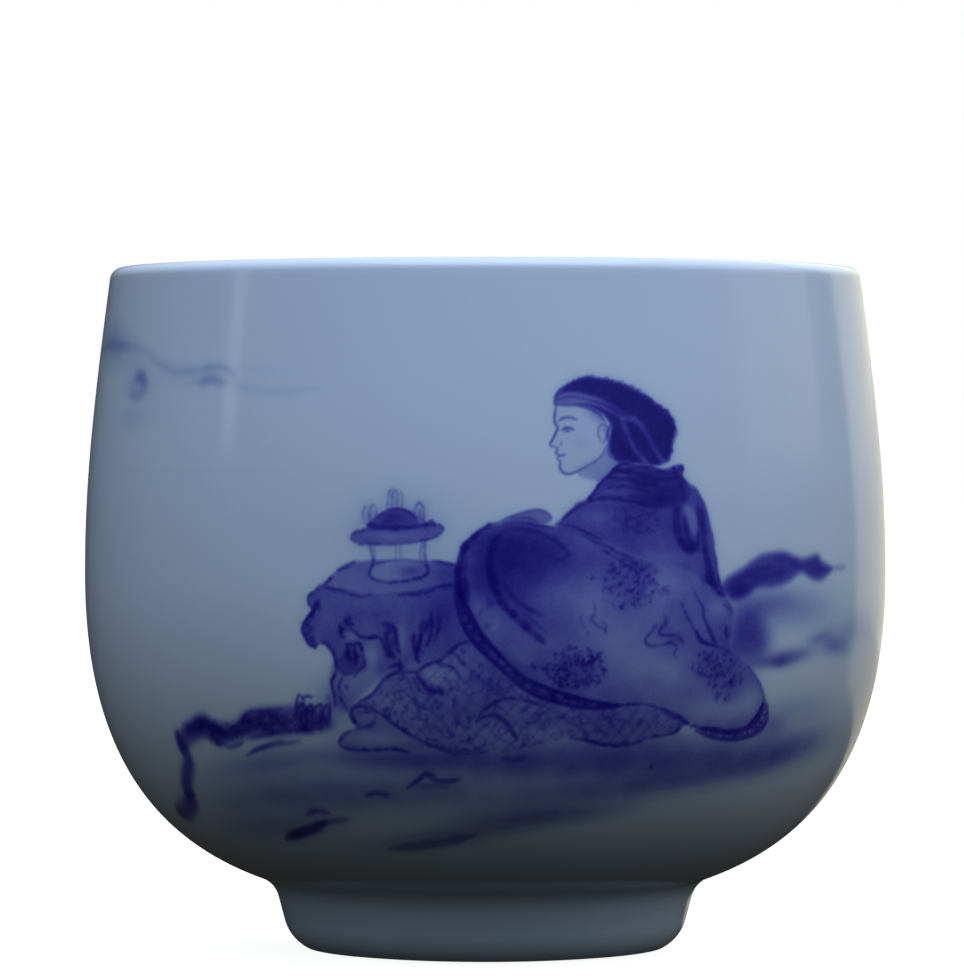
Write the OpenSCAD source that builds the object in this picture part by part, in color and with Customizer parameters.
// Teacup: a deep, round-bellied porcelain bowl on a low turned foot,
// glazed inside and out over a bare resting edge.
// Origin at the centre of the resting edge, +Z up, in millimetres.

/* [Bowl] */
// Height from the resting edge to the top of the lip
cup_h = 68; // [64:0.5:72]
// Outer radius at the belly, the widest part
belly_r = 40; // [39:0.5:42]
// Height of the widest part
belly_z = 37.5; // [35:0.5:40]
// Wall thickness at the belly, glaze included
wall_t = 2.8; // [2.4:0.1:3.4]
// Thickness of the floor over the well, glaze included
floor_t = 4.6; // [4.2:0.1:5.6]

/* [Lip] */
// Outer radius of the lip
lip_r = 37.5; // [36.8:0.1:38.2]
// Thickness of the rounded lip, glaze included
lip_t = 2.5; // [2.2:0.1:3]
// Inward lean of the wall below the lip, in degrees
lip_lean = 7.5; // [5:0.5:10]

/* [Foot] */
// Outer radius where the bowl's underside would meet the foot's side
root_r = 21.1; // [20.5:0.1:22]
// Height of that meeting line
root_z = 6.7; // [6.2:0.1:7.2]
// Slope of the bowl's underside there, in degrees
root_slope = 20; // [17:1:23]
// Radius of the hollow curve that joins the underside to the foot
root_fillet = 3; // [2:0.1:3.4]
// Inward taper of the foot's side, in degrees
foot_taper = 15; // [12:1:18]
// Radius of the rounding under the foot's outer edge, before glazing
foot_round = 4; // [3.4:0.1:4.2]
// Width of the flat resting edge
rest_w = 1.6; // [1.2:0.1:2]
// Radius of the rounding inside the resting edge, before glazing
rest_round = 1; // [0.8:0.1:1.3]
// Inward taper of the well's wall, in degrees
well_taper = 5; // [3:1:8]

/* [Glaze] */
// Thickness of each coat of glaze
glaze_t = 0.3; // [0.2:0.05:0.4]
// Radius at which glaze pools in the corner of the well
pool_r = 1; // [0.6:0.1:1.4]
// How far the outer glaze follows the foot's rounding, in degrees below level
foot_glaze_end = 62; // [54:1:64]
// How far the well's glaze follows the inner rounding, in degrees below level
well_glaze_end = 25; // [15:1:30]

/* [Hidden] */
$fn = 96;

WALL_STEPS = 18;   // straight steps along each long curve of the wall
ARC_STEPS = 8;     // straight steps along each short arc

// Handles of the wall's curves: how far each end keeps its direction
UPPER_LIP_PULL = 15.4;
UPPER_BELLY_PULL = 7.7;
LOWER_BELLY_PULL = 18;
LOWER_ROOT_PULL = 11;
INNER_LIP_PULL = 14;
INNER_BELLY_PULL = 8;
INNER_WALL_PULL = 22;
INNER_FLOOR_PULL = 26;

// --- plane geometry, in the half plane (radius, height) ---

function unit(a) = [cos(a), sin(a)];

function bezier(p, t) =
    pow(1 - t, 3) * p[0] + 3 * pow(1 - t, 2) * t * p[1]
    + 3 * (1 - t) * t * t * p[2] + pow(t, 3) * p[3];

function bezier_dir(p, t) =
    let (d = pow(1 - t, 2) * (p[1] - p[0]) + 2 * (1 - t) * t * (p[2] - p[1]) + t * t * (p[3] - p[2]))
    d / norm(d);

// Points along a curve, moved inset to the right of its direction
function curve(p, steps, inset = 0) =
    [for (i = [0 : steps]) let (d = bezier_dir(p, i / steps)) bezier(p, i / steps) + inset * [d[1], -d[0]]];

function arc(centre, radius, from, to) =
    [for (i = [0 : ARC_STEPS]) centre + radius * unit(from + (to - from) * i / ARC_STEPS)];

function reversed(list) = [for (i = [len(list) - 1 : -1 : 0]) list[i]];

// --- lip: a round edge whose centre line is the lip circle ---

lip_round = lip_t / 2;
lip_centre = [lip_r - lip_round, cup_h - lip_round];

// --- root of the foot: a hollow arc tangent to the underside and to the foot's side ---

root = [root_r, root_z];
under_dir = unit(root_slope);
root_half_angle = (root_slope + 90 + foot_taper) / 2;
root_tangent = root_fillet / tan(root_half_angle);
root_centre = root + root_fillet / sin(root_half_angle) * unit((root_slope - 90 - foot_taper) / 2);
under_end = root + root_tangent * under_dir;
FILLET_START = 90 + root_slope;
FILLET_END = 180 - foot_taper;

// --- rounding under the foot, its resting edge and the well inside it ---

outer_foot_round = foot_round + glaze_t;
rest_outer_r = root_r - (outer_foot_round + (root_z - foot_round) * sin(foot_taper)) / cos(foot_taper);
foot_centre = [rest_outer_r, foot_round];
rest_inner_r = rest_outer_r - rest_w;
rest_centre = [rest_inner_r, rest_round];
joint_z = (root_centre + (root_fillet + glaze_t) * unit(FILLET_END))[1];
well_wall_foot = rest_centre + rest_round * unit(180 + well_taper);
well_r = well_wall_foot[0] - (joint_z - well_wall_foot[1]) * tan(well_taper);
well_top = joint_z - glaze_t;
floor_z = well_top + floor_t;

// --- wall curves, given on the glazed surface ---

upper_start = lip_centre + lip_round * unit(lip_lean);
UPPER_OUTSIDE = [
    upper_start,
    upper_start + UPPER_LIP_PULL * unit(lip_lean - 90),
    [belly_r, belly_z + UPPER_BELLY_PULL],
    [belly_r, belly_z]
];
LOWER_OUTSIDE = [
    [belly_r, belly_z],
    [belly_r, belly_z - LOWER_BELLY_PULL],
    under_end + LOWER_ROOT_PULL * under_dir,
    under_end
];
inner_belly_r = belly_r - wall_t;
inner_start = lip_centre + lip_round * unit(180 + lip_lean);
UPPER_INSIDE = [
    inner_start,
    inner_start + INNER_LIP_PULL * unit(lip_lean - 90),
    [inner_belly_r, belly_z + INNER_BELLY_PULL],
    [inner_belly_r, belly_z]
];
LOWER_INSIDE = [
    [inner_belly_r, belly_z],
    [inner_belly_r, belly_z - INNER_WALL_PULL],
    [INNER_FLOOR_PULL, floor_z],
    [0, floor_z]
];

function open(list) = [for (i = [0 : len(list) - 2]) list[i]];

// Outside of the bowl from the top of the lip to the foot's side, depth below the glazed surface
function outside(depth) = concat(
    open(arc(lip_centre, lip_round - depth, 90, lip_lean)),
    open(curve(UPPER_OUTSIDE, WALL_STEPS, depth)),
    open(curve(LOWER_OUTSIDE, WALL_STEPS, depth)),
    arc(root_centre, root_fillet + depth, FILLET_START, FILLET_END)
);

// Inside of the bowl from the top of the lip to the middle of the floor
function inside(depth) = concat(
    open(arc(lip_centre, lip_round - depth, 90, 180 + lip_lean)),
    open(curve(UPPER_INSIDE, WALL_STEPS, -depth)),
    curve(LOWER_INSIDE, WALL_STEPS, -depth)
);

// Outside of the foot from its root to an angle below level on its rounding
function foot_outside(depth, end) = concat(
    [root_centre + (root_fillet + depth) * unit(FILLET_END)],
    arc(foot_centre, outer_foot_round - depth, -foot_taper, -end)
);

// Well wall of the bare foot, from an angle below level on the inner rounding up to the joint
function well_wall(end) = concat(
    arc(rest_centre, rest_round, 180 + end, 180 + well_taper),
    [[well_r, joint_z]]
);

// --- pieces ---

module lathe(outline) {
    rotate_extrude() polygon(outline);
}

module bowl() {
    color("gainsboro")
        lathe(concat(outside(glaze_t), [[0, joint_z]], open(reversed(inside(glaze_t)))));
}

module foot_ring() {
    color("gainsboro")
        lathe(concat(foot_outside(glaze_t, 90), well_wall(90)));
}

module outer_glaze() {
    color("lightsteelblue")
        lathe(concat(outside(0), reversed(outside(glaze_t))));
}

module liner_glaze() {
    color("aliceblue")
        lathe(concat(inside(0), reversed(inside(glaze_t))));
}

module foot_glaze() {
    color("lightsteelblue")
        lathe(concat(
            foot_outside(0, foot_glaze_end),
            reversed(foot_outside(glaze_t, foot_glaze_end))
        ));
}

module well_glaze() {
    corner = [well_r - glaze_t / cos(well_taper) + glaze_t * tan(well_taper), well_top];
    pool_centre = corner - [pool_r / cos(well_taper) - pool_r * tan(well_taper), pool_r];
    color("aliceblue")
        lathe(concat(
            well_wall(well_glaze_end),
            [[0, joint_z], [0, well_top]],
            arc(pool_centre, pool_r, 90, well_taper),
            arc(rest_centre, rest_round + glaze_t, 180 + well_taper, 180 + well_glaze_end)
        ));
}

bowl();
foot_ring();
outer_glaze();
liner_glaze();
foot_glaze();
well_glaze();
